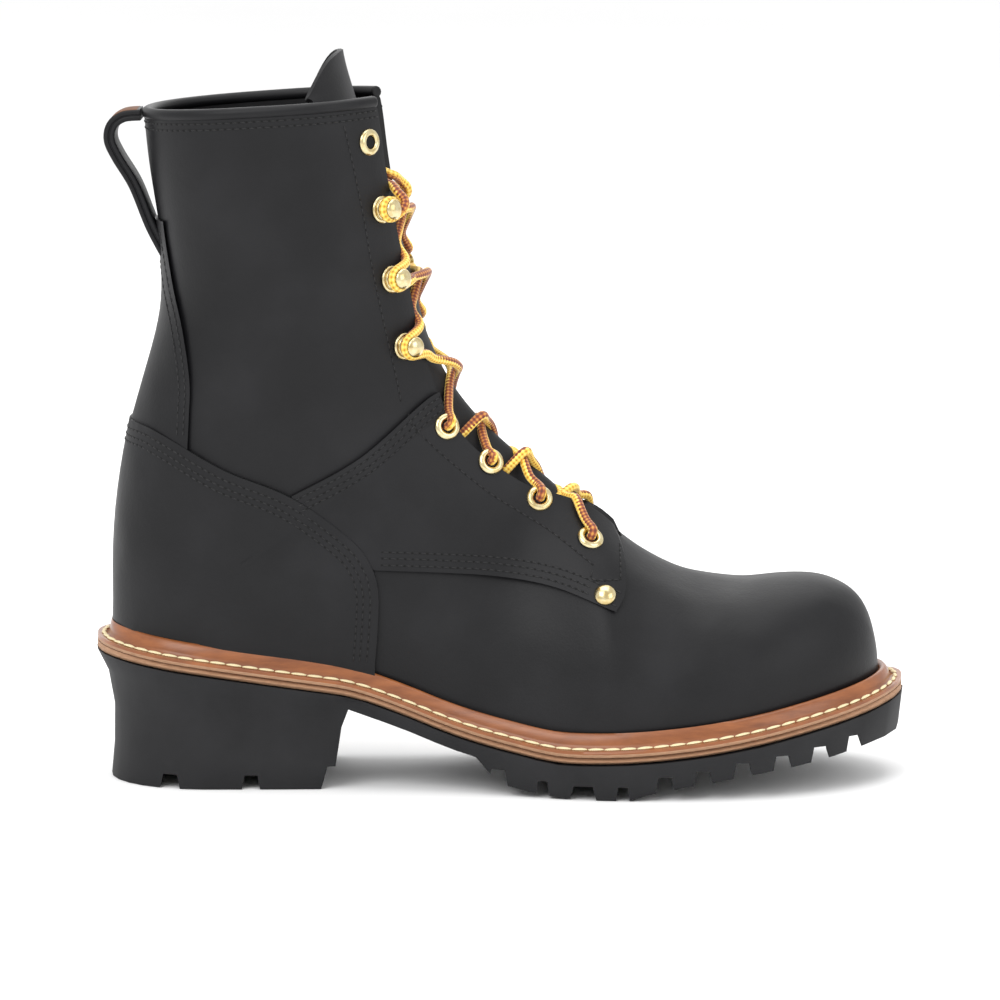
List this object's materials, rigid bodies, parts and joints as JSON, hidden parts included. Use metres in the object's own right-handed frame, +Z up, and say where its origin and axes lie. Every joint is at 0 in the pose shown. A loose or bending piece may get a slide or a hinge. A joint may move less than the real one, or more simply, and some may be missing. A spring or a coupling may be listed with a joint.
{
  "type": "logger boot",
  "caption": "Right logger boot with a lugged rubber sole, tall undercut heel, welted leather upper, tall shaft, eyelets, speed hooks and lace.",
  "frame": {"origin": "middle of the boot's box on the floor under the sole", "axes": "+X to the toe, +Y to the inner (medial) side, +Z up"},
  "size_m": [0.31, 0.1124, 0.278],
  "materials": {
    "rubber": "matte moulded",
    "midsole": "raw cut edge",
    "welt": "burnished",
    "leather": "oiled, soft sheen",
    "brass": "polished pale brass",
    "lace": "round braid"
  },
  "bodies": {
    "root": {"outsole": "rubber", "midsole": "midsole", "welt": "welt", "insole": "midsole", "upper": "leather", "tongue": "leather", "counter": "leather", "quarter_lateral": "leather", "quarter_medial": "leather", "back_stay": "leather", "pull_loop": "leather", "collar_binding": "leather", "eyelet_lateral_1": "brass", "eyelet_lateral_2": "brass", "eyelet_lateral_3": "brass", "eyelet_lateral_4": "brass", "eyelet_lateral_top": "brass", "hook_lateral_1": "brass", "hook_lateral_2": "brass", "hook_lateral_3": "brass", "rivet_lateral": "brass", "eyelet_medial_1": "brass", "eyelet_medial_2": "brass", "eyelet_medial_3": "brass", "eyelet_medial_4": "brass", "eyelet_medial_top": "brass", "hook_medial_1": "brass", "hook_medial_2": "brass", "hook_medial_3": "brass", "rivet_medial": "brass", "lace_bar": "lace", "lace_cross_1": "lace", "lace_cross_2": "lace", "lace_cross_3": "lace", "lace_cross_4": "lace", "lace_cross_5": "lace", "lace_cross_6": "lace", "lace_end_lateral": "lace", "lace_end_medial": "lace"}
  },
  "joints": []
}
